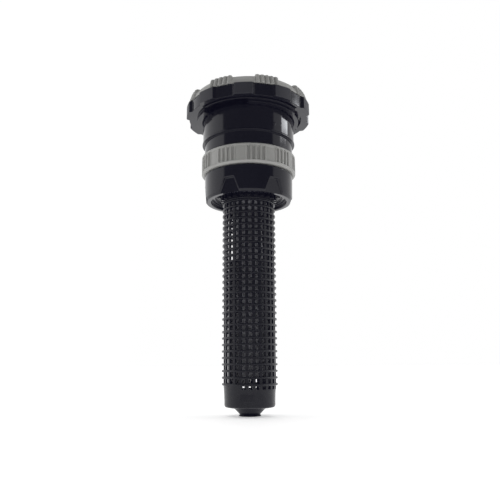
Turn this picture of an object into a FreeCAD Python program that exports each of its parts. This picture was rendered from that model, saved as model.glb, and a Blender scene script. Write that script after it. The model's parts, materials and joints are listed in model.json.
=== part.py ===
"""Rotating stream nozzle of a pop-up sprinkler, with its filter basket.

All sizes are in millimetres. The origin is the centre of the filter's foot and +Z points up, along the
axis of the nozzle. Angles are in degrees round the axis: 0 is the front (-Y) and they grow towards +X.
"""

import FreeCAD, Part
import math
import os

from FreeCAD import Vector

# Driving dimensions ------------------------------------------------------------------------------

# Filter basket
RING_R = 6.52
BAR_R = 6.125
SCREEN_IN_R = 5.70
RING_COUNT = 30
RING_THICK = 0.50
RING_EDGE = 0.18
FIRST_RING_Z = 7.05
LAST_RING_Z = 50.03
BAR_COUNT = 24
BAR_SHARE = 0.43
OPENING_ANGLE = 2.0
CUP_SLOT_Z = 6.0
CUP_SLOT_TOP_Z = 6.72
CUP_SLOTS = 20
HEAD_IN_R = 5.45
HEAD_R = 6.30
HEAD_FLANGE_R = 7.20
HEAD_FLANGE_Z = 57.2
HEAD_TOP_Z = 58.2
TOOTH_R = 6.90

# Tube inside the filter basket
TUBE_R = 3.3
TUBE_IN_R = 2.5
TUBE_Z = 8.7
TUBE_TOP_Z = 48.8
FIN_R = 5.4
FIN_TOP_Z = 35.5
FIN_THICK = 0.8
TUBE_WEB_Z = 7.1
TUBE_WEB_ANGLE = -60.0
TUBE_COLLAR_IN_R = 4.75
TUBE_COLLAR_Z = 47.4
TUBE_COLLAR_TOP_Z = 51.6

# Lower collar and its sleeve
BASE_Z = 50.7
BASE_R = 11.02
SHOULDER_Z = 57.25
MOUTH_R = 9.40
LEDGE_Z = 51.7
THREAD_MAJOR_R = 7.94
THREAD_MINOR_R = 7.45
THREAD_PITCH = 25.4 / 28
THREAD_Z = 52.2
CEILING_Z = 59.2
WEB_Z = 60.6
SLEEVE_R = 9.30
SLEEVE_IN_R = 8.30
SLEEVE_TOP_Z = 64.8
HUB_R = 3.40
HUB_IN_R = 2.60
HUB_Z = 57.8
HUB_TOP_Z = 66.4
POCKET_COUNT = 6
POCKET_TOP_Z = 54.4
POCKET_FLOOR_R = 10.3
POCKET_ANGLE = 34.5

# Arc ring
ARC_R = 11.8
ARC_BOTTOM_Z = 57.45
ARC_TOP_Z = 62.2
ARC_GROUPS = 10
ARC_GROUP_ANGLE = 9.0
ARC_GROOVES = 4
ARC_GROOVE_PITCH = 5.8
ARC_TURN = 180.0
KEY_ANGLE = 90.0
KEY_WIDTH = 20.0
KEY_R = 7.7
KEY_Z = 61.0
KEY_TOP_Z = 62.0

# Upper collar
NECK_R = 11.13
NECK_Z = 62.55
LIP_R = 11.75
LIP_Z = 65.65
COLLAR_R = 11.6
COLLAR_IN_R = 10.5
COLLAR_FLOOR_Z = 66.2
COLLAR_TOP_Z = 72.25

# Shaft line
SHAFT_R = 1.0
RUN = 0.05
SHAFT_Z = 49.3
SHAFT_GROOVE_R = 0.70
CLIP_Z = 57.95
CLIP_THICK = 0.35
RETAINER_Z = 58.32
SPRING_Z = 58.9
SPRING_TOP_Z = 65.9
SPRING_R = 2.1
SPRING_WIRE_R = 0.2
SPRING_TURNS = 7
SHAFT_HEAD_R = 1.7
SHAFT_HEAD_Z = 75.25
SHAFT_TOP_Z = 77.1

# Throttle
SEAT_Z = 56.2
SEAT_TOP_Z = 57.0
CAGE_R = 5.3
CAGE_IN_R = 4.7
LEG_Z = 49.7
LEG_IN_R = 3.3
LEG_R = 4.6
LEG_WIDTH = 16.0
NUT_Z = 49.9
NUT_TOP_Z = 51.5
NUT_R = 4.5

# Turning head
RIM_Z = 72.7
RIM_TOP_Z = 75.9
RIM_VALLEY_R = 15.2
RIM_LOBE_R = 16.0
RIM_LOBES = 10
RIM_LOBE_ANGLE = -4.0
RIM_LOBE_WIDTH = 15.8
RIM_FLANK_WIDTH = 2.0
RIM_SKIRT_IN_R = 14.5
RIM_HOLE_R = 13.2
RIM_PLATE_Z = 74.4
LEDGE_IN_R = 11.85
LEDGE_BOTTOM_Z = 71.9
LEDGE_START = 0.0
LEDGE_TURN = 305.0
SLOT_IN_R = 12.9
SLOT_R = 13.6
SLOT_ANGLE = 84.0
SLOT_WIDTH = 44.0
DIAL_PADS = 8
DIAL_PAD_ANGLE = 18.1
DIAL_PAD_WIDTH = 21.3
DIAL_RIDGES = 5
DIAL_R = 15.15
DIAL_TOP_R = 14.75
DIAL_Z = 77.4
DIAL_RAIL_Z = 78.25
DIAL_PAD_R = 15.6
DIAL_PAD_TOP_R = 14.95
DIAL_PAD_Z = 78.4

# Deflector and damper
DEFLECTOR_Z = 67.5
DEFLECTOR_NOSE_R = 3.4
DEFLECTOR_R = 10.2
DEFLECTOR_EDGE_Z = 71.4
DEFLECTOR_GROOVES = 18
HOUSING_R = 5.0
HOUSING_IN_R = 4.2
HOUSING_Z = 69.2
HOUSING_FLOOR_Z = 70.9
HOUSING_TOP_Z = 75.2
BEARING_R = 1.9
SEAL_R = 2.3
LID_Z = 74.1

# Shape helpers -----------------------------------------------------------------------------------

AXIS = Vector(0, 0, 1)
ORIGIN = Vector(0, 0, 0)
FRONT = -90.0


def disc(radius, low, high):
    return Part.makeCylinder(radius, high - low, Vector(0, 0, low))


def ring(inner, outer, low, high):
    return disc(outer, low, high).cut(disc(inner, low - 1, high + 1))


def lathe(outline):
    """Solid of revolution from (radius, height) points."""
    points = [Vector(r, 0, z) for r, z in outline]
    face = Part.Face(Part.makePolygon(points + points[:1]))
    return face.revolve(ORIGIN, AXIS, 360)


def turned(shape, angle):
    """Copy of a shape, turned round the axis."""
    copy = shape.copy()
    copy.rotate(ORIGIN, AXIS, angle)
    return copy


def wedge(inner, outer, low, high, middle, width):
    """Part of a ring that is width degrees wide and centred on the angle middle."""
    whole = Part.makeCylinder(outer, high - low, Vector(0, 0, low), AXIS, width)
    part = whole.cut(disc(inner, low - 1, high + 1))
    return turned(part, FRONT + middle - width / 2)


def around(shape, count, start=0.0):
    """Copies of a shape at equal angles."""
    return [turned(shape, start + 360.0 * i / count) for i in range(count)]


def box_at(radius, length, width, low, high):
    """Box on the front side: it runs outwards from radius and is centred on the front plane."""
    return Part.makeBox(width, length, high - low, Vector(-width / 2, -radius - length, low))


def o_ring(radius, section, height):
    return Part.makeTorus(radius, section, Vector(0, 0, height))


def ramp(inner, outer, low, high, rise, start, upwards):
    """Ring with a helical face, made of small even steps that add up to rise in one turn."""
    steps = 24
    pieces = []
    for i in range(steps):
        change = rise * (i + 1) / steps
        middle = start + 360.0 * (i + 0.5) / steps
        top = high + change if upwards else high
        bottom = low if upwards else low - change
        pieces.append(wedge(inner, outer, bottom, top, middle, 360.0 / steps))
    return pieces[0].multiFuse(pieces[1:]).removeSplitter()


# Filter ------------------------------------------------------------------------------------------


def filter_cup():
    """Closed end of the basket: a foot, a cone, a flat underside and a cup wall."""
    top = FIRST_RING_Z + RING_THICK / 2
    outline = [
        (0, 0), (2.5, 0), (2.64, 0.14), (2.34, 0.42), (3.6, 1.66), (5.45, 1.95),
        (5.75, 2.1), (5.87, 2.4), (5.94, 4.9), (6.09, 6.6), (BAR_R, top), (SCREEN_IN_R, top),
        (5.3, 6.2), (5.2, 3.1), (0, 3.0),
    ]
    cup = lathe(outline)
    spacing = 360.0 / BAR_COUNT
    slot = wedge(4, 7, CUP_SLOT_Z, CUP_SLOT_TOP_Z, 0, spacing * (1 - BAR_SHARE))
    first = OPENING_ANGLE - spacing
    slots = [turned(slot, first + spacing * i) for i in range(CUP_SLOTS)]
    gate_mark = wedge(5.86, 7, 3.6, 5.0, -6, 28)
    return cup.cut(slots + [gate_mark])


def filter_ring(height):
    """One screen ring with a rounded outer edge, centred on height."""
    low = height - RING_THICK / 2
    high = height + RING_THICK / 2
    bend = RING_EDGE * (1 - math.sqrt(0.5))
    inner = RING_R - RING_EDGE
    lower_arc = Part.Arc(Vector(inner, 0, low), Vector(RING_R - bend, 0, low + bend),
                         Vector(RING_R, 0, low + RING_EDGE))
    upper_arc = Part.Arc(Vector(RING_R, 0, high - RING_EDGE), Vector(RING_R - bend, 0, high - bend),
                         Vector(inner, 0, high))
    edges = [
        Part.makeLine(Vector(SCREEN_IN_R, 0, low), Vector(inner, 0, low)),
        lower_arc.toShape(),
        Part.makeLine(Vector(RING_R, 0, low + RING_EDGE), Vector(RING_R, 0, high - RING_EDGE)),
        upper_arc.toShape(),
        Part.makeLine(Vector(inner, 0, high), Vector(SCREEN_IN_R, 0, high)),
        Part.makeLine(Vector(SCREEN_IN_R, 0, high), Vector(SCREEN_IN_R, 0, low)),
    ]
    return Part.Face(Part.Wire(edges)).revolve(ORIGIN, AXIS, 360)


def filter_head():
    """Solid neck above the screen, with small teeth and the flange that rests on the riser."""
    low = LAST_RING_Z - RING_THICK / 2
    neck = [
        (SCREEN_IN_R, low), (BAR_R, low), (HEAD_R, low + 0.7), (HEAD_R, HEAD_FLANGE_Z),
        (HEAD_FLANGE_R, HEAD_FLANGE_Z), (HEAD_FLANGE_R, HEAD_TOP_Z), (HEAD_IN_R, HEAD_TOP_Z),
        (HEAD_IN_R, low + 0.7),
    ]
    tooth = wedge(HEAD_R - 0.2, TOOTH_R, 50.9, 52.4, 0, 360.0 / BAR_COUNT * 0.5)
    return [lathe(neck)] + around(tooth, BAR_COUNT)


def filter_screen():
    pitch = (LAST_RING_Z - FIRST_RING_Z) / (RING_COUNT - 1)
    bar_width = 360.0 / BAR_COUNT * BAR_SHARE
    bar_angle = OPENING_ANGLE + 180.0 / BAR_COUNT
    bar = wedge(SCREEN_IN_R, BAR_R, FIRST_RING_Z, LAST_RING_Z, bar_angle, bar_width)
    pieces = [filter_ring(FIRST_RING_Z + i * pitch) for i in range(RING_COUNT)]
    pieces += around(bar, BAR_COUNT)
    pieces += filter_head()
    return filter_cup().multiFuse(pieces)


def flow_tube():
    """Tube in the middle of the basket, with its collar.

    Three long fins centre the tube, three short ones carry the collar, and a web stands under one long fin.
    """
    root = TUBE_R - 0.3
    tube = ring(TUBE_IN_R, TUBE_R, TUBE_Z, TUBE_TOP_Z)
    collar = ring(TUBE_COLLAR_IN_R, HEAD_IN_R, TUBE_COLLAR_Z, TUBE_COLLAR_TOP_Z)
    short_fin = box_at(root, TUBE_COLLAR_IN_R + 0.3 - root, FIN_THICK, TUBE_COLLAR_Z, TUBE_TOP_Z)
    long_fin = box_at(root, FIN_R - root, FIN_THICK, TUBE_Z, FIN_TOP_Z)
    web = turned(box_at(0, FIN_R, FIN_THICK, TUBE_WEB_Z, TUBE_Z + 0.5), TUBE_WEB_ANGLE)
    return tube.multiFuse([collar, web] + around(short_fin, 3, 60) + around(long_fin, 3, 60))


# Base --------------------------------------------------------------------------------------------


def grip_pocket():
    """Cutter for one grip pocket of the lower collar: narrow at the top and open at the bottom."""
    low = BASE_Z - 0.5
    corners = [(-2.65, low), (2.65, low), (1.2, POCKET_TOP_Z), (-1.2, POCKET_TOP_Z)]
    points = [Vector(x, -POCKET_FLOOR_R, z) for x, z in corners]
    face = Part.Face(Part.makePolygon(points + points[:1]))
    return face.extrude(Vector(0, -3, 0))


def thread_cutter():
    """Helical groove of the riser thread."""
    depth = THREAD_MAJOR_R - THREAD_MINOR_R
    length = CEILING_Z - 1.0 - THREAD_Z
    helix = Part.makeHelix(THREAD_PITCH, length, THREAD_MINOR_R)
    half = THREAD_PITCH * 0.42
    corners = [(-0.15, -half), (depth, -0.08), (depth, 0.08), (-0.15, half)]
    points = [Vector(THREAD_MINOR_R + x, 0, z) for x, z in corners]
    profile = Part.makePolygon(points + points[:1])
    groove = Part.Wire(helix).makePipeShell([profile], True, True)
    groove.translate(Vector(0, 0, THREAD_Z + 0.3))
    return groove


def nozzle_base():
    """Lower collar, riser socket, web, hub and sleeve in one moulding."""
    outline = [
        (10.5, BASE_Z), (10.88, BASE_Z + 0.5), (BASE_R, SHOULDER_Z - 0.15),
        (BASE_R - 0.15, SHOULDER_Z), (SLEEVE_R, SHOULDER_Z), (SLEEVE_R, SLEEVE_TOP_Z),
        (SLEEVE_IN_R, SLEEVE_TOP_Z), (SLEEVE_IN_R, WEB_Z), (HUB_R, WEB_Z), (HUB_R, HUB_TOP_Z),
        (HUB_IN_R, HUB_TOP_Z), (HUB_IN_R, HUB_Z), (HUB_R, HUB_Z), (HUB_R, CEILING_Z),
        (THREAD_MAJOR_R, CEILING_Z), (THREAD_MAJOR_R, CEILING_Z - 1.0),
        (THREAD_MINOR_R, CEILING_Z - 1.0), (THREAD_MINOR_R, THREAD_Z + 0.5),
        (THREAD_MAJOR_R, THREAD_Z), (8.4, THREAD_Z), (8.4, LEDGE_Z), (MOUTH_R, LEDGE_Z),
        (MOUTH_R, BASE_Z + 0.1), (MOUTH_R + 0.1, BASE_Z),
    ]
    body = lathe(outline)
    window_middle = KEY_ANGLE + ARC_TURN / 2
    window_width = ARC_TURN + KEY_WIDTH + 4
    window = wedge(SLEEVE_IN_R - 0.5, SLEEVE_R + 1, KEY_Z - 0.2, KEY_TOP_Z + 0.2, window_middle,
                   window_width)
    flow = wedge(HUB_R + 0.2, CAGE_IN_R - 0.05, CEILING_Z - 1, WEB_Z + 1, 45, 68)
    face_groove = ring(6.2, 7.0, WEB_Z - 0.6, WEB_Z + 1)
    ring_groove = ring(SLEEVE_R - 0.5, SLEEVE_R + 1, 58.4, 59.1)
    pockets = around(grip_pocket(), POCKET_COUNT, POCKET_ANGLE)
    return body.cut([window, face_groove, ring_groove] + around(flow, 4) + pockets).cut(thread_cutter())


def riser_gasket():
    return ring(5.7, 7.3, HEAD_TOP_Z, CEILING_Z)


# Throttle ----------------------------------------------------------------------------------------


def throttle_cage():
    """Seat ring on a short wall, with three legs that keep the nut from turning."""
    seat = ring(3.0, CAGE_R, SEAT_Z, SEAT_TOP_Z)
    wall = ring(CAGE_IN_R, CAGE_R, SEAT_Z, CEILING_Z)
    leg = wedge(LEG_IN_R, LEG_R, LEG_Z, SEAT_Z + 0.2, 0, LEG_WIDTH)
    return seat.multiFuse([wall] + around(leg, 3)).removeSplitter()


def throttle_nut():
    """Nut with three notches that ride on the legs."""
    body = ring(SHAFT_R + RUN, NUT_R, NUT_Z, NUT_TOP_Z)
    notch = wedge(LEG_IN_R - 0.1, NUT_R + 1, NUT_Z - 1, NUT_TOP_Z + 1, 0, LEG_WIDTH + 3)
    return body.cut(around(notch, 3))


# Arc ring and valve ------------------------------------------------------------------------------


def arc_ring():
    """Grip ring: raised rims, groups of vertical grooves, framed panels and the drive key."""
    top_edge = 0.2
    low_edge = 0.4
    outline = [
        (SLEEVE_R + RUN, ARC_BOTTOM_Z), (ARC_R - low_edge, ARC_BOTTOM_Z),
        (ARC_R, ARC_BOTTOM_Z + low_edge), (ARC_R, ARC_TOP_Z - top_edge),
        (ARC_R - top_edge, ARC_TOP_Z), (SLEEVE_R + RUN, ARC_TOP_Z),
    ]
    body = lathe(outline)
    low = ARC_BOTTOM_Z + 0.65
    high = ARC_TOP_Z - 0.55
    cutters = []
    spacing = 360.0 / ARC_GROUPS
    for group in range(ARC_GROUPS):
        middle = ARC_GROUP_ANGLE + spacing * group
        for groove in range(ARC_GROOVES):
            angle = middle + ARC_GROOVE_PITCH * (groove - (ARC_GROOVES - 1) / 2)
            cutters.append(wedge(ARC_R - 0.42, ARC_R + 1, low, high, angle, 3.0))
        cutters.append(wedge(ARC_R - 0.14, ARC_R + 1, low + 0.1, high - 0.1, middle + spacing / 2, 12.0))
    key = wedge(KEY_R, SLEEVE_R + 0.3, KEY_Z, KEY_TOP_Z, KEY_ANGLE, KEY_WIDTH)
    return body.cut(cutters).fuse(key)


def lower_valve_helix():
    """Valve part turned by the key of the arc ring. Its top face climbs one step in one turn."""
    outer = SLEEVE_IN_R - 0.1
    body = ramp(5.6, outer, WEB_Z + RUN, 64.9, 1.3, 0, True)
    notch = wedge(KEY_R - 0.1, outer + 1, KEY_Z - 0.1, KEY_TOP_Z + 0.1, KEY_ANGLE, KEY_WIDTH + 1)
    return body.cut(notch)


def upper_valve_helix():
    """Fixed valve part on the hub. Its bottom face falls one step in one turn."""
    return ramp(HUB_R, 5.5, 65.6, HUB_TOP_Z, 1.3, 0, False)


# Upper collar ------------------------------------------------------------------------------------


def index_mark():
    """Small raised triangle that points at the arc ring."""
    points = [Vector(-0.42, 0, 68.1), Vector(0.42, 0, 68.1), Vector(0, 0, 67.2)]
    face = Part.Face(Part.makePolygon(points + points[:1]))
    mark = face.extrude(Vector(0, -COLLAR_R - 0.12, 0))
    return turned(mark.cut(disc(COLLAR_R - 0.3, 60, 75)), 33.0)


def body_collar():
    outline = [
        (SLEEVE_R, NECK_Z), (NECK_R, NECK_Z), (NECK_R, LIP_Z), (LIP_R - 0.1, LIP_Z),
        (LIP_R, LIP_Z + 0.1), (LIP_R, LIP_Z + 0.3), (COLLAR_R, LIP_Z + 0.45),
        (COLLAR_R, COLLAR_TOP_Z - 0.3), (COLLAR_R - 0.2, COLLAR_TOP_Z), (COLLAR_IN_R, COLLAR_TOP_Z),
        (COLLAR_IN_R, COLLAR_FLOOR_Z), (SLEEVE_IN_R + 0.05, COLLAR_FLOOR_Z),
        (SLEEVE_IN_R + 0.05, SLEEVE_TOP_Z), (SLEEVE_R, SLEEVE_TOP_Z),
    ]
    return lathe(outline).fuse(index_mark())


def hub_bushing():
    """Headed bush in the top of the hub: it guides the shaft and stops the spring."""
    head = ring(SHAFT_R + RUN, HUB_R + 0.4, HUB_TOP_Z, 67.2)
    spigot = ring(SHAFT_R + RUN, HUB_IN_R, SPRING_TOP_Z, HUB_TOP_Z)
    return head.fuse(spigot)


# Shaft line --------------------------------------------------------------------------------------


def shaft():
    """Steel shaft: slotted head, clip groove and a grooved lower end for the throttle nut."""
    rod = disc(SHAFT_R, SHAFT_Z, SHAFT_HEAD_Z + 0.1)
    head = lathe([(0, SHAFT_HEAD_Z), (SHAFT_HEAD_R, SHAFT_HEAD_Z), (SHAFT_HEAD_R, SHAFT_TOP_Z - 0.2),
                  (SHAFT_HEAD_R - 0.2, SHAFT_TOP_Z), (0, SHAFT_TOP_Z)])
    slot_width = 0.6
    slot_depth = 0.8
    slot = box_at(-SHAFT_HEAD_R - 0.5, 2 * SHAFT_HEAD_R + 1, slot_width, SHAFT_TOP_Z - slot_depth,
                  SHAFT_TOP_Z + 1)
    slot = turned(slot, 90)
    clip_groove = ring(SHAFT_GROOVE_R, SHAFT_R + 1, CLIP_Z, CLIP_Z + CLIP_THICK)
    thread_step = 0.4
    threads = [ring(0.85, 1.5, SHAFT_Z + 0.3 + i * thread_step, SHAFT_Z + 0.5 + i * thread_step)
               for i in range(14)]
    return rod.fuse(head).cut([slot, clip_groove] + threads)


def shaft_clip():
    """Open clip: three inner lugs grip the groove of the shaft."""
    body = ring(SHAFT_R + 0.35, 1.95, CLIP_Z, CLIP_Z + CLIP_THICK)
    lug = wedge(SHAFT_GROOVE_R, SHAFT_R + 0.5, CLIP_Z, CLIP_Z + CLIP_THICK, 180, 40)
    gap = box_at(0, 3, 1.1, CLIP_Z - 1, CLIP_Z + 1)
    return body.multiFuse(around(lug, 4, 45)).cut(gap)


def spring_retainer():
    """Washer that the clip carries. Its rim guides the shaft in the hub."""
    return ring(SHAFT_R + RUN, HUB_IN_R - RUN, RETAINER_Z, SPRING_Z)


def return_spring():
    """Compression spring with its ends on the retainer and on the bush."""
    height = SPRING_TOP_Z - SPRING_Z - 2 * SPRING_WIRE_R - 0.02
    helix = Part.makeHelix(height / SPRING_TURNS, height, SPRING_R)
    section = Part.Wire(Part.makeCircle(SPRING_WIRE_R, Vector(SPRING_R, 0, 0), Vector(0, 1, 0)))
    spring = Part.Wire(helix).makePipeShell([section], True, True)
    spring.translate(Vector(0, 0, SPRING_Z + SPRING_WIRE_R + 0.01))
    return spring


# Turning head ------------------------------------------------------------------------------------


def grip_lobe():
    """One grip lobe on the front side: a rounded tip between two slanted flanks."""
    tip_angle = math.radians(RIM_LOBE_WIDTH / 2)
    foot_angle = math.radians(RIM_LOBE_WIDTH / 2 + RIM_FLANK_WIDTH)
    tip = Vector(RIM_LOBE_R * math.sin(tip_angle), -RIM_LOBE_R * math.cos(tip_angle), RIM_Z)
    foot = Vector(RIM_VALLEY_R * math.sin(foot_angle), -RIM_VALLEY_R * math.cos(foot_angle), RIM_Z)
    beyond = foot + (tip - foot) * 1.6
    root = Vector(foot.x, foot.y + 0.6, RIM_Z)
    half = [root, foot, beyond]
    points = half + [Vector(-corner.x, corner.y, RIM_Z) for corner in reversed(half)]
    face = Part.Face(Part.makePolygon(points + points[:1]))
    lobe = face.extrude(Vector(0, 0, RIM_TOP_Z - 0.15 - RIM_Z))
    return lobe.common(disc(RIM_LOBE_R, RIM_Z - 1, RIM_TOP_Z + 1))


def rotor_rim():
    """Scalloped flange: a skirt, an underside plate, a partial ledge and the top plate."""
    top = ring(HOUSING_R, RIM_VALLEY_R, RIM_PLATE_Z, RIM_TOP_Z)
    skirt = ring(RIM_SKIRT_IN_R, RIM_VALLEY_R, RIM_Z, RIM_TOP_Z)
    under = ring(RIM_HOLE_R, RIM_SKIRT_IN_R + 0.2, RIM_Z, RIM_PLATE_Z + 0.2)
    ledge = wedge(LEDGE_IN_R, RIM_HOLE_R + 0.2, LEDGE_BOTTOM_Z, RIM_PLATE_Z + 0.2,
                  LEDGE_START + LEDGE_TURN / 2, LEDGE_TURN)
    recess = wedge(RIM_HOLE_R + 0.3, RIM_SKIRT_IN_R, RIM_Z - 1, RIM_Z + 1.2, 2.5, 105)
    slot = wedge(SLOT_IN_R, SLOT_R, LEDGE_BOTTOM_Z - 1, RIM_Z + 0.9, SLOT_ANGLE, SLOT_WIDTH)
    dial_groove = ring(12.5, 13.5, RIM_TOP_Z - 0.8, RIM_TOP_Z + 1)
    lobes = around(grip_lobe(), RIM_LOBES, RIM_LOBE_ANGLE)
    body = top.multiFuse([skirt, under, ledge] + lobes)
    return body.cut([recess, slot, dial_groove])


def dial_pad():
    """One ribbed finger pad on the front side: a tapered block with rounded ridges."""
    inner = 12.4
    low = RIM_TOP_Z
    outline = [(inner, low), (DIAL_PAD_R - 0.35, low), (DIAL_PAD_TOP_R - 0.35, DIAL_PAD_Z - 0.25),
               (DIAL_PAD_TOP_R - 0.6, DIAL_PAD_Z), (inner, DIAL_PAD_Z - 0.3)]
    block = lathe(outline).common(wedge(1, 20, low, DIAL_PAD_Z + 1, 0, DIAL_PAD_WIDTH))
    pitch = DIAL_PAD_WIDTH / DIAL_RIDGES
    ridge_r = 0.36
    foot_r = DIAL_PAD_R - ridge_r
    top_r = DIAL_PAD_TOP_R - ridge_r
    run = Vector(0, foot_r - top_r, DIAL_PAD_Z - 0.15 - low)
    ridge = Part.makeCylinder(ridge_r, run.Length, Vector(0, -foot_r, low), run)
    ridge = ridge.common(disc(20, low, DIAL_PAD_Z))
    ridges = [turned(ridge, pitch * (i - (DIAL_RIDGES - 1) / 2)) for i in range(DIAL_RIDGES)]
    return block.multiFuse(ridges)


def top_dial():
    """Grey top: dished plate, raised arcs between eight ribbed pads, and the adjuster hole."""
    low = RIM_TOP_Z
    outline = [
        (5.6, low), (DIAL_R, low), (DIAL_R, low + 0.25), (DIAL_TOP_R, DIAL_Z - 0.2),
        (DIAL_TOP_R - 0.25, DIAL_Z), (13.6, DIAL_Z), (13.4, 77.0), (4.6, 76.7), (4.2, 77.2),
        (2.6, 77.2), (2.3, 76.9), (2.3, 76.1), (5.6, 76.1),
    ]
    plate = lathe(outline)
    skirt = ring(12.55, 13.45, low - 0.75, low + 0.2)
    rails = []
    for i in range(DIAL_PADS):
        middle = DIAL_PAD_ANGLE + 360.0 / DIAL_PADS * (i + 0.5)
        rails.append(wedge(13.6, 14.35, DIAL_Z - 0.2, DIAL_RAIL_Z, middle, 24))
    pads = around(dial_pad(), DIAL_PADS, DIAL_PAD_ANGLE)
    return plate.multiFuse([skirt] + rails + pads)


def deflector():
    """Cone with skew grooves that split the water into streams and turn the head."""
    bore = HOUSING_R
    outline = [
        (SHAFT_R + 0.15, DEFLECTOR_Z), (DEFLECTOR_NOSE_R, DEFLECTOR_Z),
        (DEFLECTOR_R, DEFLECTOR_EDGE_Z), (DEFLECTOR_R, RIM_PLATE_Z), (bore, RIM_PLATE_Z),
        (bore, HOUSING_Z), (SHAFT_R + 0.15, HOUSING_Z),
    ]
    body = lathe(outline)
    slope = Vector(0, -(DEFLECTOR_R - DEFLECTOR_NOSE_R), DEFLECTOR_EDGE_Z - DEFLECTOR_Z)
    skew = Vector(2.2, 0, 0)
    start = Vector(-1.0, -DEFLECTOR_NOSE_R - 0.6, DEFLECTOR_Z + 0.05)
    groove = Part.makeCylinder(0.5, slope.Length + 2, start, slope + skew)
    return body.cut(around(groove, DEFLECTOR_GROOVES))


# Damper ------------------------------------------------------------------------------------------


def damper_housing():
    """Cup of the viscous brake, with seats for the lower bearing and the shaft seal."""
    cup = disc(HOUSING_R, HOUSING_Z, HOUSING_TOP_Z)
    room = disc(HOUSING_IN_R, HOUSING_FLOOR_Z, HOUSING_TOP_Z + 1)
    bearing_seat = disc(BEARING_R, HOUSING_Z - 1, HOUSING_FLOOR_Z + 0.1)
    seal_seat = disc(SEAL_R, HOUSING_Z + 0.9, HOUSING_FLOOR_Z + 0.1)
    return cup.cut([room, bearing_seat, seal_seat])


def lower_bearing():
    return ring(SHAFT_R + RUN, BEARING_R, HOUSING_Z, HOUSING_Z + 0.9)


def shaft_seal():
    """Lip ring: waisted between its two lips."""
    low = HOUSING_Z + 0.9
    high = HOUSING_FLOOR_Z
    middle = (low + high) / 2
    lip = SHAFT_R + 0.02
    return lathe([(lip, low), (SEAL_R, low), (SEAL_R - 0.2, middle), (SEAL_R, high), (lip, high),
                  (lip + 0.2, middle)])


def seal_retainer():
    return ring(SHAFT_R + 0.15, HOUSING_IN_R, HOUSING_FLOOR_Z, HOUSING_FLOOR_Z + 0.4)


def damper_rotor():
    """Finned drum on the shaft. It stands still while the head turns round it."""
    body = ring(SHAFT_R, 3.9, 71.6, 73.9)
    groove = wedge(3.3, 5, 71, 75, 0, 12)
    return body.cut(around(groove, 10))


def damper_lid():
    """Plug of the cup, with a groove for its seal ring and a seat for the upper bearing."""
    plug = ring(BEARING_R, HOUSING_IN_R, LID_Z, HOUSING_TOP_Z)
    groove = ring(3.65, HOUSING_IN_R + 1, 74.35, 74.85)
    return plug.cut(groove)


def lid_o_ring():
    return o_ring(3.93, 0.24, 74.6)


def upper_bearing():
    return ring(SHAFT_R + RUN, BEARING_R, LID_Z, HOUSING_TOP_Z)


# Seal rings of the valve -------------------------------------------------------------------------


def valve_o_ring():
    return o_ring(6.6, 0.3, WEB_Z - 0.28)


def arc_seal_ring():
    return o_ring(9.07, 0.26, 58.75)


PIECES = [
    filter_screen, flow_tube, nozzle_base, riser_gasket, throttle_cage, throttle_nut, arc_ring,
    arc_seal_ring, lower_valve_helix, upper_valve_helix, valve_o_ring, body_collar, hub_bushing, shaft,
    shaft_clip, spring_retainer, return_spring, rotor_rim, top_dial, deflector, damper_housing,
    lower_bearing, shaft_seal, seal_retainer, damper_rotor, damper_lid, lid_o_ring, upper_bearing,
]

os.makedirs("parts", exist_ok=True)
for piece in PIECES:
    piece().exportStep("parts/" + piece.__name__ + ".step")
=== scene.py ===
"""Looks of the rotating stream nozzle.

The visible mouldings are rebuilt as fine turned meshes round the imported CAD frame, every piece gets a
procedural finish, and a camera, a light table and a soft white room complete the scene.
Lengths named _MM are millimetres; everything in Blender is in metres. Angles are degrees round the axis,
0 at the front (-Y), growing towards +X.
"""

import bpy
import json
import math
import numpy as np
from mathutils import Euler, Matrix, Vector


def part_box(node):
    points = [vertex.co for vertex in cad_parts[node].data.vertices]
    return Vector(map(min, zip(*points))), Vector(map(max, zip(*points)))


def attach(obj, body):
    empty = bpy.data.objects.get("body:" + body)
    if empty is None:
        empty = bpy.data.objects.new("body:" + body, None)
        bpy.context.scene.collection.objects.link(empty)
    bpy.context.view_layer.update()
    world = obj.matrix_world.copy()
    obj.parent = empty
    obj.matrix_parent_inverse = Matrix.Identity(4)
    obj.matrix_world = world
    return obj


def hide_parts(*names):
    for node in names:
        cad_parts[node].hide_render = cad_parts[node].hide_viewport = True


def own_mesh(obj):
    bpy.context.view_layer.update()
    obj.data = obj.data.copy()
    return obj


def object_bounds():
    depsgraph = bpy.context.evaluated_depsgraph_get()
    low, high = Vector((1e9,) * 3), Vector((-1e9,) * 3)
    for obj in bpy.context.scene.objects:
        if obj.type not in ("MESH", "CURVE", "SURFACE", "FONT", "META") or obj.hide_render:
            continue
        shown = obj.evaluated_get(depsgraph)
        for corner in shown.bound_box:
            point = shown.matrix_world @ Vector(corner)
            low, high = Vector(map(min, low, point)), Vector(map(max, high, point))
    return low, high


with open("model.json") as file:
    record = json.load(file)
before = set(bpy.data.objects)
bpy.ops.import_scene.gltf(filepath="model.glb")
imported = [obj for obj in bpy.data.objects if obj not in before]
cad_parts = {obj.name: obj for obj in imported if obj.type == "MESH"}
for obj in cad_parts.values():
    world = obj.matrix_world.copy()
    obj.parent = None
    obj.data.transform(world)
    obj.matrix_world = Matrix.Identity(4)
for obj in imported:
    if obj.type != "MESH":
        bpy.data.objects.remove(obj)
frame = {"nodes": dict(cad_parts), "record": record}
CAD_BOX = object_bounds()
NODES = frame["nodes"]
MM = 0.001


def top_mm(node):
    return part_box(node)[1].z / MM


def bottom_mm(node):
    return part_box(node)[0].z / MM


def radius_mm(node):
    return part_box(node)[1].x / MM


# Numbers shared by several pieces ----------------------------------------------------------------

SLEEVE_R_MM = 9.30
HUB_R_MM = 3.40
HOUSING_R_MM = radius_mm("damper_housing")
FINE_STEPS = 1440

# Curves of the angle and the height --------------------------------------------------------------


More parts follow.
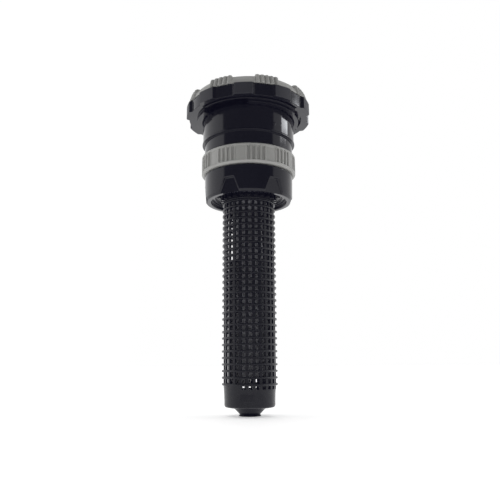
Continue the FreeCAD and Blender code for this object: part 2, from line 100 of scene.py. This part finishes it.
def ease(x):
    """0 below 0, 1 above 1 and a smooth S between."""
    x = np.clip(x, 0.0, 1.0)
    return x * x * (3 - 2 * x)


def between(x, low, high, soft):
    """1 between low and high, 0 outside, with edges soft wide."""
    return ease((x - low) / soft + 0.5) * ease((high - x) / soft + 0.5)


def repeated(angle, count, first, width, soft):
    """1 on count even sectors that are width degrees wide, the first one centred on first."""
    spacing = 360.0 / count
    off_centre = np.abs((angle - first + spacing / 2) % spacing - spacing / 2)
    return ease((width / 2 - off_centre) / soft + 0.5)


def slanted(angle, count, first, width, flank):
    """Like repeated, but with straight flanks outside the width."""
    spacing = 360.0 / count
    off_centre = np.abs((angle - first + spacing / 2) % spacing - spacing / 2)
    return np.clip((width / 2 + flank - off_centre) / flank, 0.0, 1.0)


def sector(angle, start, width, soft):
    """1 from start to start + width degrees."""
    return repeated(angle, 1, start + width / 2, width, soft)


# Meshes ------------------------------------------------------------------------------------------


def softened(corners, radius, steps=4):
    """Closed outline with each corner replaced by a short curve. Corners are (radius, height) points.

    A point on either side of each curve keeps the shading of the flat stretches flat.
    """
    points = np.array(corners, float)
    result = []
    for i, corner in enumerate(points):
        before = points[i - 1] - corner
        after = points[(i + 1) % len(points)] - corner
        reach_before = min(0.4, radius / np.linalg.norm(before))
        reach_after = min(0.4, radius / np.linalg.norm(after))
        start = corner + before * reach_before
        end = corner + after * reach_after
        result.append(corner + before * min(0.45, reach_before * 1.3))
        for t in np.linspace(0, 1, steps + 1):
            result.append((1 - t) ** 2 * start + 2 * t * (1 - t) * corner + t ** 2 * end)
        result.append(corner + after * min(0.45, reach_after * 1.3))
    return np.array(result)


def refined(outline, longest):
    """The same closed outline with long stretches cut into shorter ones."""
    result = []
    for i, point in enumerate(outline):
        step = outline[(i + 1) % len(outline)] - point
        count = max(1, math.ceil(np.linalg.norm(step) / longest))
        result += [point + step * k / count for k in range(count)]
    return np.array(result)


def mixed(plain, *others):
    """Radii and heights of an outline that changes with the angle: others are (outline, weight) pairs."""
    grid = np.repeat(plain[None], len(others[0][1]), axis=0)
    for outline, weight in others:
        grid = grid + weight[:, None, None] * (outline - plain)[None]
    return grid[..., 0], grid[..., 1]


def angles(steps):
    return np.arange(steps) * 360.0 / steps


def add_piece(name, points, faces, body, material, slot, *nodes):
    """Smooth mesh object in the place of the CAD nodes. points are in metres."""
    mesh = bpy.data.meshes.new(name)
    mesh.from_pydata(points.tolist(), [], faces)
    mesh.polygons.foreach_set("use_smooth", [True] * len(faces))
    mesh.set_sharp_from_angle(angle=math.radians(60))
    piece = bpy.data.objects.new(name, mesh)
    bpy.context.collection.objects.link(piece)
    mesh.materials.append(material)
    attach(piece, body)
    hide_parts(*nodes)
    return piece


def turned_piece(name, radii, heights, body, material, slot, *nodes):
    """Mesh from a closed outline swept round the axis. radii and heights are arrays of angle by point."""
    steps, count = radii.shape
    around = np.radians(angles(steps))[:, None]
    points = np.stack([radii * np.sin(around), -radii * np.cos(around), heights], axis=-1) * MM
    here = np.arange(steps)[:, None]
    point = np.arange(count)[None, :]
    there = (here + 1) % steps
    after = (point + 1) % count
    faces = np.stack([here * count + point, there * count + point, there * count + after,
                      here * count + after], axis=-1).reshape(-1, 4)
    next_r = np.roll(radii[0], -1)
    next_z = np.roll(heights[0], -1)
    if np.sum(radii[0] * next_z - next_r * heights[0]) < 0:
        faces = faces[:, ::-1]
    return add_piece(name, points.reshape(-1, 3), faces.tolist(), body, material, slot, *nodes)


def plain_grid(outline, steps):
    """Radii and heights of an outline that is the same at every angle."""
    grid = np.repeat(outline[None], steps, axis=0)
    return grid[..., 0].copy(), grid[..., 1].copy()


# Materials ---------------------------------------------------------------------------------------


def maths(tree, operation, first, second):
    """Output of a maths node. first and second are numbers or sockets."""
    made = tree.nodes.new("ShaderNodeMath")
    made.operation = operation
    for socket, value in zip(made.inputs, (first, second)):
        if isinstance(value, bpy.types.NodeSocket):
            tree.links.new(value, socket)
        else:
            socket.default_value = value
    return made.outputs[0]


class Finish:
    """A node material with small helpers, so that each finish below reads as a recipe."""

    def __init__(self, name):
        self.material = bpy.data.materials.new(name)
        self.material.use_nodes = True
        self.tree = self.material.node_tree
        self.tree.nodes.clear()
        self.surface = self.tree.nodes.new("ShaderNodeBsdfPrincipled")
        self.output = self.tree.nodes.new("ShaderNodeOutputMaterial")
        self.link(self.surface.outputs["BSDF"], self.output.inputs["Surface"])
        coordinates = self.tree.nodes.new("ShaderNodeTexCoord")
        scale = self.tree.nodes.new("ShaderNodeMapping")
        scale.inputs["Scale"].default_value = (1 / MM, 1 / MM, 1 / MM)
        self.link(coordinates.outputs["Object"], scale.inputs["Vector"])
        self.place = scale.outputs["Vector"]

    def link(self, source, target):
        self.tree.links.new(source, target)

    def noise(self, size_mm, detail=3.0, stretch=(1, 1, 1)):
        """Noise with blobs about size_mm across, stretched along an axis if asked."""
        stretched = self.tree.nodes.new("ShaderNodeMapping")
        stretched.inputs["Scale"].default_value = stretch
        self.link(self.place, stretched.inputs["Vector"])
        noise = self.tree.nodes.new("ShaderNodeTexNoise")
        noise.inputs["Scale"].default_value = 1.0 / size_mm
        noise.inputs["Detail"].default_value = detail
        self.link(stretched.outputs["Vector"], noise.inputs["Vector"])
        return noise.outputs["Fac"]

    def spread(self, value, low, high):
        """A 0.3 to 0.7 noise value, moved to the range low to high."""
        ranged = self.tree.nodes.new("ShaderNodeMapRange")
        ranged.inputs["From Min"].default_value = 0.3
        ranged.inputs["From Max"].default_value = 0.7
        ranged.inputs["To Min"].default_value = low
        ranged.inputs["To Max"].default_value = high
        self.link(value, ranged.inputs["Value"])
        return ranged.outputs["Result"]

    def beyond(self, radius_mm, soft_mm):
        """0 nearer to the axis than radius_mm and 1 farther out, with an edge soft_mm wide."""
        flat = self.tree.nodes.new("ShaderNodeVectorMath")
        flat.operation = "MULTIPLY"
        flat.inputs[1].default_value = (1, 1, 0)
        self.link(self.place, flat.inputs[0])
        length = self.tree.nodes.new("ShaderNodeVectorMath")
        length.operation = "LENGTH"
        self.link(flat.outputs["Vector"], length.inputs[0])
        ranged = self.tree.nodes.new("ShaderNodeMapRange")
        ranged.inputs["From Min"].default_value = radius_mm - soft_mm / 2
        ranged.inputs["From Max"].default_value = radius_mm + soft_mm / 2
        self.link(length.outputs["Value"], ranged.inputs["Value"])
        return ranged.outputs["Result"]

    def colours(self, value, first, second):
        mix = self.tree.nodes.new("ShaderNodeMix")
        mix.data_type = "RGBA"
        if isinstance(first, bpy.types.NodeSocket):
            self.link(first, mix.inputs["A"])
        else:
            mix.inputs["A"].default_value = (*first, 1)
        mix.inputs["B"].default_value = (*second, 1)
        self.link(value, mix.inputs["Factor"])
        return mix.outputs["Result"]

    def bump(self, value, depth_mm, normal=None):
        bump = self.tree.nodes.new("ShaderNodeBump")
        bump.inputs["Distance"].default_value = depth_mm * MM
        bump.inputs["Strength"].default_value = 1.0
        self.link(value, bump.inputs["Height"])
        if normal is not None:
            self.link(normal, bump.inputs["Normal"])
        return bump.outputs["Normal"]

    def soft_edges(self, radius_mm):
        """Normal that looks rounded at sharp edges."""
        bevel = self.tree.nodes.new("ShaderNodeBevel")
        bevel.samples = 4
        bevel.inputs["Radius"].default_value = radius_mm * MM
        return bevel.outputs["Normal"]

    def set(self, name, value):
        socket = self.surface.inputs[name]
        if isinstance(value, bpy.types.NodeSocket):
            self.link(value, socket)
        else:
            socket.default_value = value


def moulded_plastic(name, colour, worn, roughness, grain_mm, grain_depth_mm, edge_mm, ior=1.5, painted_glow=0.0,
                    matt_and_painted_beyond_mm=None):
    """Injection-moulded plastic: flow shading, fine grain, uneven gloss and softened edges.

    The glow strength sets a trace of bluish emission: painted light that lifts the deepest shadows and
    tints them blue, standing in for bluish reflections.
    Surfaces farther from the axis than the given radius are matt, and painted a little paler: painted light
    on those outer faces.
    """
    # Paler colour of the outer faces: painted light, not a different plastic.
    painted_light_colour = (0.03, 0.03, 0.034)
    matt_roughness = 0.5
    # Colour of the painted glow, a bluish emission standing in for reflected light.
    painted_glow_colour = (0.42, 0.42, 1.0, 1)
    finish = Finish(name)
    flow = finish.noise(4.0, 4.0, (1, 1, 0.35))
    base = finish.colours(finish.spread(flow, 0.0, 1.0), colour, worn)
    gloss = finish.spread(finish.noise(1.3, 5.0), roughness * 0.8, roughness * 1.25)
    # Outer faces: a real matt finish, and a paler colour that is painted light.
    if matt_and_painted_beyond_mm is not None:
        matt_and_painted_light = finish.beyond(matt_and_painted_beyond_mm, 0.1)
        base = finish.colours(matt_and_painted_light, base, painted_light_colour)
        gloss = maths(finish.tree, "MAXIMUM", gloss, maths(finish.tree, "MULTIPLY", matt_and_painted_light, matt_roughness))
    finish.set("Base Color", base)
    finish.set("Roughness", gloss)
    ripple = finish.bump(finish.noise(6.0, 1.0), grain_depth_mm * 6, finish.soft_edges(edge_mm))
    grain = finish.bump(finish.noise(grain_mm, 2.0), grain_depth_mm, ripple)
    finish.set("Normal", grain)
    finish.set("IOR", ior)
    # Painted glow: a faint bluish emission in place of bluish reflected light.
    finish.set("Emission Color", painted_glow_colour)
    finish.set("Emission Strength", painted_glow)
    return finish.material


def machined_steel(name, colour, stretch):
    """Ground or drawn stainless steel with fine lines along or round the axis."""
    finish = Finish(name)
    lines = finish.noise(0.25, 6.0, stretch)
    finish.set("Base Color", finish.colours(lines, colour, tuple(0.8 * c for c in colour)))
    finish.set("Metallic", 1.0)
    finish.set("Roughness", finish.spread(lines, 0.18, 0.38))
    finish.set("Normal", finish.bump(lines, 0.004, finish.soft_edges(0.05)))
    return finish.material


def seal_rubber(name):
    """Matt black rubber with a faint dusty bloom."""
    finish = Finish(name)
    bloom = finish.noise(0.8, 5.0)
    finish.set("Base Color", finish.colours(bloom, (0.012, 0.012, 0.012), (0.03, 0.03, 0.03)))
    finish.set("Roughness", finish.spread(bloom, 0.55, 0.75))
    finish.set("Normal", finish.bump(finish.noise(0.12, 3.0), 0.006))
    return finish.material


MATERIALS = {
    # The black finishes carry a faint painted glow, a bluish emission standing in for their bluish
    # reflections.
    "black_collar": moulded_plastic("black_collar", (0.0045, 0.0045, 0.0065), (0.007, 0.007, 0.010), 0.10,
                                    0.5, 0.0006, 0.08, ior=1.39, painted_glow=0.0065),
    # The lobe faces beyond 15.85 mm are matt and painted paler, as painted light.
    "black_grip": moulded_plastic("black_grip", (0.0045, 0.0045, 0.0065), (0.007, 0.007, 0.010), 0.10,
                                  0.5, 0.0006, 0.08, ior=1.39, painted_glow=0.0065, matt_and_painted_beyond_mm=15.85),
    "black_filter": moulded_plastic("black_filter", (0.003, 0.003, 0.004), (0.006, 0.006, 0.008), 0.28,
                                    0.3, 0.001, 0.06, ior=1.38, painted_glow=0.0065),
    "grey_plastic": moulded_plastic("grey_plastic", (0.315, 0.315, 0.305), (0.365, 0.363, 0.350), 0.42,
                                    0.25, 0.002, 0.08),
    # A darker, bluer copy of the grey plastic: painted shade for the tube that sits in the shadow inside
    # the filter.
    "shaded_grey_tube": moulded_plastic(
        "shaded_grey_tube", (0.27, 0.27, 0.30), (0.32, 0.32, 0.35), 0.42, 0.3, 0.001, 0.05
    ),
    "inner_plastic": moulded_plastic("inner_plastic", (0.62, 0.62, 0.58), (0.70, 0.69, 0.65), 0.35,
                                     0.3, 0.001, 0.05),
    "valve_plastic": moulded_plastic("valve_plastic", (0.05, 0.05, 0.055), (0.07, 0.07, 0.075), 0.35,
                                     0.3, 0.001, 0.05),
    "seal_rubber": seal_rubber("seal_rubber"),
    "stainless": machined_steel("stainless", (0.62, 0.61, 0.59), (1, 1, 0.08)),
    "spring_steel": machined_steel("spring_steel", (0.5, 0.49, 0.48), (0.3, 0.3, 1)),
}


def dress_cad_nodes():
    """Every CAD node gets the finish its record slot names, except the flow tube, which gets a darker copy
    of the grey plastic as painted shade; all get smooth shading between sharp edges.
    """
    # The flow tube's darker grey is painted shade.
    own_finish = {"flow_tube": "shaded_grey_tube"}
    for entry in frame["record"]["subparts"]:
        piece = NODES[entry["node"]]
        piece.data.materials.clear()
        piece.data.materials.append(MATERIALS[own_finish.get(entry["node"], entry["material_slot"])])
        piece.data.polygons.foreach_set("use_smooth", [True] * len(piece.data.polygons))
        piece.data.set_sharp_from_angle(angle=math.radians(35))


# Grey arc ring -----------------------------------------------------------------------------------


def build_arc_ring():
    """Ring with raised rims, ten groups of four vertical grooves and ten framed panels."""
    outer = radius_mm("arc_ring")
    inner = SLEEVE_R_MM + 0.05
    low = bottom_mm("arc_ring")
    high = top_mm("arc_ring")
    groove_depth = 0.42
    panel_depth = 0.16
    groups = 10
    group_angle = 9.0
    grooves = 4
    groove_pitch = 5.8
    groove_width = 3.1
    panel_width = 12.0

    def outline(depth):
        """Half section with a shallow trough of this depth between the two rims."""
        return softened([
            (inner, low), (outer - 0.42, low), (outer, low + 0.38), (outer, low + 0.62),
            (outer - depth, low + 0.62 + 0.3 * depth + 0.05), (outer - depth, high - 0.55 - 0.3 * depth),
            (outer, high - 0.5), (outer, high - 0.12), (outer - 0.12, high), (inner, high),
        ], 0.08)

    angle = angles(FINE_STEPS)
    in_groove = np.zeros(FINE_STEPS)
    for groove in range(grooves):
        centre = group_angle + groove_pitch * (groove - (grooves - 1) / 2)
        in_groove += repeated(angle, groups, centre, groove_width, 0.9)
    in_panel = repeated(angle, groups, group_angle + 180.0 / groups, panel_width, 0.8)
    radii, heights = mixed(outline(0.0), (outline(groove_depth), in_groove),
                           (outline(panel_depth), in_panel))
    return turned_piece("arc_ring_moulding", radii, heights, "arc_valve", MATERIALS["grey_plastic"],
                        "grey_plastic", "arc_ring")


# Upper collar ------------------------------------------------------------------------------------


def build_body_collar():
    """Neck, lip and upper collar, with a small raised triangle as the index mark."""
    outer = radius_mm("body_collar")
    low = bottom_mm("body_collar")
    high = top_mm("body_collar")
    wall = outer - 0.15
    inside = 10.5
    bore = 8.35
    neck = 11.13
    lip = low + 3.1
    floor = low + 3.65
    sleeve_top = low + 2.25
    outline = softened([
        (SLEEVE_R_MM, low), (neck, low), (neck, lip), (outer, lip), (outer, lip + 0.3),
        (wall, lip + 0.45), (wall, high - 0.25), (wall - 0.2, high), (inside, high), (inside, floor),
        (bore, floor), (bore, sleeve_top), (SLEEVE_R_MM, sleeve_top),
    ], 0.1)
    outline = refined(outline, 0.12)
    radii, heights = plain_grid(outline, FINE_STEPS)
    mark_angle = 33.0
    mark_low = lip + 1.55
    mark_high = lip + 2.45
    off_centre = np.abs(angles(FINE_STEPS)[:, None] - mark_angle) * math.radians(wall)
    half_width = 0.5 * (heights - mark_low) / (mark_high - mark_low)
    inside_mark = ease((half_width - off_centre) / 0.12 + 0.5) * between(heights, mark_low, mark_high, 0.12)
    radii = np.where(radii > wall - 0.01, radii + 0.13 * inside_mark, radii)
    return turned_piece("upper_collar", radii, heights, "base", MATERIALS["black_collar"],
                        "black_collar", "body_collar")


# Lower collar ------------------------------------------------------------------------------------


def build_nozzle_base():
    """Lower collar with six grip pockets, a stepped mouth, a helical riser thread, web, hub and sleeve."""
    outer = radius_mm("nozzle_base")
    low = bottom_mm("nozzle_base")
    shoulder = bottom_mm("arc_ring") - 0.2
    ceiling = top_mm("riser_gasket")
    web = ceiling + 1.4
    sleeve_top = shoulder + 7.55
    hub_top = top_mm("nozzle_base")
    thread_low = low + 1.5
    thread_high = ceiling - 1.0
    minor = 7.45
    major = 7.94
    depth = 0.46
    pitch = 25.4 / 28
    mouth = 9.4
    ledge = 8.4
    pocket_floor = 10.3
    pocket_top = low + 3.7
    pocket_angle = 34.5
    pocket_half_low = 2.7
    pocket_half_top = 1.25
    outline = softened([
        (10.5, low), (10.88, low + 0.5), (outer, shoulder - 0.15), (outer - 0.15, shoulder),
        (SLEEVE_R_MM, shoulder), (SLEEVE_R_MM, sleeve_top), (8.3, sleeve_top), (8.3, web),
        (HUB_R_MM, web), (HUB_R_MM, hub_top), (2.6, hub_top), (2.6, ceiling - 1.4),
        (HUB_R_MM, ceiling - 1.4), (HUB_R_MM, ceiling), (major, ceiling), (major, thread_high),
        (minor, thread_high - 0.3), (minor, thread_low + 0.5), (major, thread_low), (ledge, thread_low),
        (ledge, low + 1.0), (mouth, low + 1.0), (mouth, low + 0.15), (mouth + 0.12, low),
    ], 0.1)
    outline = refined(outline, 0.11)
    steps = 1080
    angle = angles(steps)[:, None]
    radii, heights = plain_grid(outline, steps)
    on_wall = (radii > 10.4) & (heights < shoulder - 0.3)
    off_centre = (angle - pocket_angle + 30.0) % 60.0 - 30.0
    across = np.abs(off_centre) * math.radians(outer)
    share = (pocket_top - heights) / (pocket_top - low)
    half_width = pocket_half_top + (pocket_half_low - pocket_half_top) * share
    in_pocket = ease((half_width - across) / 0.22 + 0.5) * ease((pocket_top - heights) / 0.22 + 0.5)
    floor = pocket_floor / np.cos(np.radians(off_centre))
    depth_here = np.maximum(radii - floor, 0.0)
    radii = np.where(on_wall, radii - in_pocket * depth_here, radii)
    on_thread = np.abs(radii - minor) < 0.02
    turn = ((heights - thread_low) / pitch - angle / 360.0) % 1.0
    form = ease(1.25 - np.abs(turn - 0.5) * 4.0)
    ends = between(heights, thread_low + 0.8, thread_high - 0.5, 0.4)
    radii = np.where(on_thread, radii + depth * form * ends, radii)
    return turned_piece("lower_collar", radii, heights, "base", MATERIALS["black_collar"],
                        "black_collar", "nozzle_base")


# Return spring -----------------------------------------------------------------------------------


def build_return_spring():
    """Coil spring with closed end turns."""
    wire = 0.2
    turns = 8
    per_turn = 48
    sides = 14
    coil = radius_mm("return_spring") - wire
    low = bottom_mm("return_spring")
    high = top_mm("return_spring")
    turn = np.arange(turns * per_turn + 1) / per_turn
    closed_rise = 2.05 * wire
    open_rise = (high - low - 2 * wire - 2 * closed_rise) / (turns - 2)
    rise = np.interp(turn, [0, 1, turns - 1, turns],
                     [0, closed_rise, closed_rise + open_rise * (turns - 2), high - low - 2 * wire])
    around = (2 * np.pi * turn)[:, None]
    section = np.linspace(0, 2 * np.pi, sides, endpoint=False)[None, :]
    reach = coil + wire * np.cos(section)
    heights = low + wire + rise[:, None] + wire * np.sin(section)
    points = np.stack([reach * np.sin(around), -reach * np.cos(around), heights], axis=-1) * MM
    faces = []
    for ring in range(turns * per_turn):
        for side in range(sides):
            after = (side + 1) % sides
            faces.append([ring * sides + side, (ring + 1) * sides + side, (ring + 1) * sides + after,
                          ring * sides + after])
    last = turns * per_turn * sides
    faces.append(list(range(sides)))
    faces.append([last + side for side in reversed(range(sides))])
    spring = add_piece("coil_spring", points.reshape(-1, 3), faces, "lift", MATERIALS["spring_steel"],
                       "spring_steel", "return_spring")
    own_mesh(spring)


# Turning head ------------------------------------------------------------------------------------


def build_rotor_rim():
    """Scalloped flange with ten lobes. Under it are a recess, a partial ledge and a curved slot."""
    lobe = radius_mm("rotor_rim")
    valley = 15.2
    ledge = bottom_mm("rotor_rim")
    under = ledge + 0.8
    plate = under + 1.7
    high = top_mm("rotor_rim")
    lobes = 10
    lobe_angle = -4.0
    lobe_width = 15.8
    flank_width = 2.0
    recess_top = under + 1.2
    slot_top = under + 0.9
    ledge_inner = 11.85
    hole = 13.2
    ledged = [(ledge_inner, ledge), (hole - 0.02, ledge), (hole, ledge), (hole + 0.04, under),
              (hole + 0.08, under)]
    slotted = [(ledge_inner, ledge), (12.88, ledge), (12.9, slot_top), (13.56, slot_top), (13.6, under)]
    bare = [(hole - 0.03, under - 0.01), (hole - 0.02, under - 0.01), (hole, under - 0.01),
            (hole + 0.04, under), (hole + 0.08, under)]

    def outline(inner_part, outer=valley, recess_z=under):
        """Half section: the points of the inner underside, the outer radius and the recess top vary."""
        return softened(inner_part + [
            (13.66, under), (13.72, recess_z), (14.38, recess_z), (14.44, under), (outer, under),
            (outer, high - 0.28), (outer - 0.14, high - 0.14), (15.0, high), (HOUSING_R_MM, high),
            (HOUSING_R_MM, plate), (inner_part[0][0], plate),
        ], 0.08)

    angle = angles(FINE_STEPS)
    in_lobe = slanted(angle, lobes, lobe_angle, lobe_width, flank_width)
    in_recess = sector(angle, -50.0, 105.0, 2.0)
    in_slot = sector(angle, 62.0, 44.0, 1.0)
    in_gap = sector(angle, 305.0, 55.0, 0.5)
    radii, heights = mixed(
        outline(ledged), (outline(ledged, outer=lobe), in_lobe),
        (outline(ledged, recess_z=recess_top), in_recess), (outline(slotted), in_slot),
        (outline(bare), in_gap))
    return turned_piece("scalloped_flange", radii, heights, "rotor", MATERIALS["black_grip"],
                        "black_collar", "rotor_rim")


def build_top_dial():
    """Grey top with eight ribbed pads, raised rails between them and a dished middle."""
    low = bottom_mm("top_dial") + 0.75
    high = top_mm("top_dial")
    edge = low + 1.5
    rail_top = edge + 0.85
    dish = edge - 0.45
    pads = 8
    pad_angle = 18.1
    pad_width = 23.2
    ribs = 5

    def outline(foot, shoulder_r, shoulder_z, inner_z, rail_z):
        return softened([
            (5.6, low), (foot, low), (foot, low + 0.25), (shoulder_r, shoulder_z - 0.2),
            (shoulder_r - 0.25, shoulder_z), (14.4, shoulder_z), (13.85, rail_z), (13.62, rail_z),
            (13.58, shoulder_z), (13.3, inner_z), (12.5, inner_z - 0.05), (12.3, dish), (4.6, dish - 0.2),
            (4.2, dish + 0.3), (2.6, dish + 0.3), (2.3, dish), (2.3, low + 0.3), (5.6, low + 0.3),
        ], 0.09)

    rail = outline(15.15, 14.75, edge, dish, rail_top)
    pad = outline(15.0, 14.4, high, high - 0.12, high)
    rib = outline(15.6, 14.96, high - 0.02, high - 0.12, high)
    angle = angles(FINE_STEPS)
    in_pad = repeated(angle, pads, pad_angle, pad_width, 0.7)
    pitch = pad_width / ribs
    on_rib = ((angle - pad_angle + pad_width / 2) % (360.0 / pads)) / pitch
    rounded = np.sin(np.pi * (on_rib % 1.0)) ** 0.7 * in_pad
    radii, heights = mixed(rail, (pad, in_pad - rounded), (rib, rounded))
    return turned_piece("ribbed_dial", radii, heights, "rotor", MATERIALS["grey_plastic"],
                        "grey_plastic", "top_dial")


# Room, light and camera --------------------------------------------------------------------------


def build_floor():
    """A light table: pale, matt and faintly glowing. It stays under the filter's foot, clear from below."""
    finish = Finish("light_table")
    finish.set("Base Color", (0.9, 0.9, 0.9, 1))
    finish.set("Roughness", 0.7)
    finish.set("Emission Color", (1, 1, 1, 1))
    finish.set("Emission Strength", 0.42)
    side = finish.tree.nodes.new("ShaderNodeNewGeometry")
    clear = finish.tree.nodes.new("ShaderNodeBsdfTransparent")
    either = finish.tree.nodes.new("ShaderNodeMixShader")
    finish.link(side.outputs["Backfacing"], either.inputs["Fac"])
    finish.link(finish.surface.outputs["BSDF"], either.inputs[1])
    finish.link(clear.outputs["BSDF"], either.inputs[2])
    finish.link(either.outputs["Shader"], finish.output.inputs["Surface"])
    size = 3.0
    mesh = bpy.data.meshes.new("floor")
    corners = [(-size, -size, 0), (size, -size, 0), (size, size, 0), (-size, size, 0)]
    mesh.from_pydata(corners, [], [(0, 1, 2, 3)])
    mesh.materials.append(finish.material)
    floor = bpy.data.objects.new("floor", mesh)
    floor.location.z = CAD_BOX[0].z
    bpy.context.collection.objects.link(floor)
    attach(floor, "filter")


def build_room():
    """White surroundings with a darker side behind the camera; the camera itself sees plain white."""
    dark_within = 63
    white_beyond = 69
    dark_level = 0.12
    ceiling_from = 0.75
    ceiling_full = 0.95
    world = bpy.data.worlds.new("room")
    world.use_nodes = True
    tree = world.node_tree
    tree.nodes.clear()
    coordinates = tree.nodes.new("ShaderNodeTexCoord")
    parts = tree.nodes.new("ShaderNodeSeparateXYZ")
    tree.links.new(coordinates.outputs["Generated"], parts.inputs[0])
    x, y, z = parts.outputs
    squares = maths(tree, "ADD", maths(tree, "MULTIPLY", x, x), maths(tree, "MULTIPLY", y, y))
    flat = maths(tree, "SQRT", squares, 0.0)
    backwards = maths(tree, "MULTIPLY", y, -1.0)
    towards_camera = maths(tree, "DIVIDE", backwards, maths(tree, "ADD", flat, 0.0001))
    ramp = tree.nodes.new("ShaderNodeMapRange")
    ramp.interpolation_type = "SMOOTHSTEP"
    ramp.inputs["From Min"].default_value = math.cos(math.radians(white_beyond))
    ramp.inputs["From Max"].default_value = math.cos(math.radians(dark_within))
    ramp.inputs["To Min"].default_value = 1.0
    ramp.inputs["To Max"].default_value = dark_level
    tree.links.new(towards_camera, ramp.inputs["Value"])
    above = tree.nodes.new("ShaderNodeMapRange")
    above.interpolation_type = "SMOOTHSTEP"
    above.inputs["From Min"].default_value = ceiling_from
    above.inputs["From Max"].default_value = ceiling_full
    above.inputs["To Min"].default_value = 0.0
    above.inputs["To Max"].default_value = 1.0
    tree.links.new(z, above.inputs["Value"])
    level = maths(tree, "MAXIMUM", ramp.outputs["Result"], above.outputs["Result"])
    sideways = maths(tree, "SUBTRACT", 0.97, maths(tree, "MULTIPLY", x, 0.16))
    level = maths(tree, "MULTIPLY", level, sideways)
    path = tree.nodes.new("ShaderNodeLightPath")
    seen = maths(tree, "MAXIMUM", path.outputs["Is Camera Ray"], level)
    background = tree.nodes.new("ShaderNodeBackground")
    background.inputs["Color"].default_value = (1, 1, 1, 1)
    tree.links.new(seen, background.inputs["Strength"])
    output = tree.nodes.new("ShaderNodeOutputWorld")
    tree.links.new(background.outputs[0], output.inputs["Surface"])
    bpy.context.scene.world = world


def build_strip_light():
    """A short bright panel high on the right: it makes the upright highlight on the upper collar."""
    light = bpy.data.lights.new("strip", "AREA")
    light.shape = "RECTANGLE"
    light.size = 0.39
    light.size_y = 0.052
    light.energy = 0.53
    light.color = (0.94, 0.96, 1.0)
    strip = bpy.data.objects.new("strip", light)
    below_rim_mm = 3.9
    elevation = 24.4
    turned_back = 13.7
    distance = 1.0
    target = Vector((0, 0, (top_mm("body_collar") - below_rim_mm) * MM))
    direction = Euler((0, math.radians(-elevation), 0)).to_matrix() @ Vector((1, 0, 0))
    direction.rotate(Euler((0, 0, math.radians(turned_back))))
    strip.location = target + direction * distance
    strip.rotation_euler = (target - strip.location).to_track_quat("-Z", "Y").to_euler()
    bpy.context.collection.objects.link(strip)


def build_camera():
    """Low and close to the filter, looking up at the head."""
    camera = bpy.data.cameras.new("camera")
    camera.sensor_width = 36.0
    camera.lens = 40.56
    camera.shift_x = 0.0022
    camera.shift_y = -0.0439
    camera.clip_start = 0.005
    holder = bpy.data.objects.new("camera", camera)
    distance = 0.13565
    height = 0.01136
    pitch = 13.66
    roll = -0.33
    turn = Matrix.Rotation(math.radians(90 + pitch), 4, "X") @ Matrix.Rotation(math.radians(roll), 4, "Z")
    holder.matrix_world = Matrix.Translation((0, -distance, CAD_BOX[0].z + height)) @ turn
    bpy.context.collection.objects.link(holder)
    bpy.context.scene.camera = holder


dress_cad_nodes()
build_arc_ring()
build_body_collar()
build_nozzle_base()
build_return_spring()
build_rotor_rim()
build_top_dial()
build_floor()
build_room()
build_strip_light()
build_camera()
bpy.context.scene.view_settings.view_transform = "Standard"
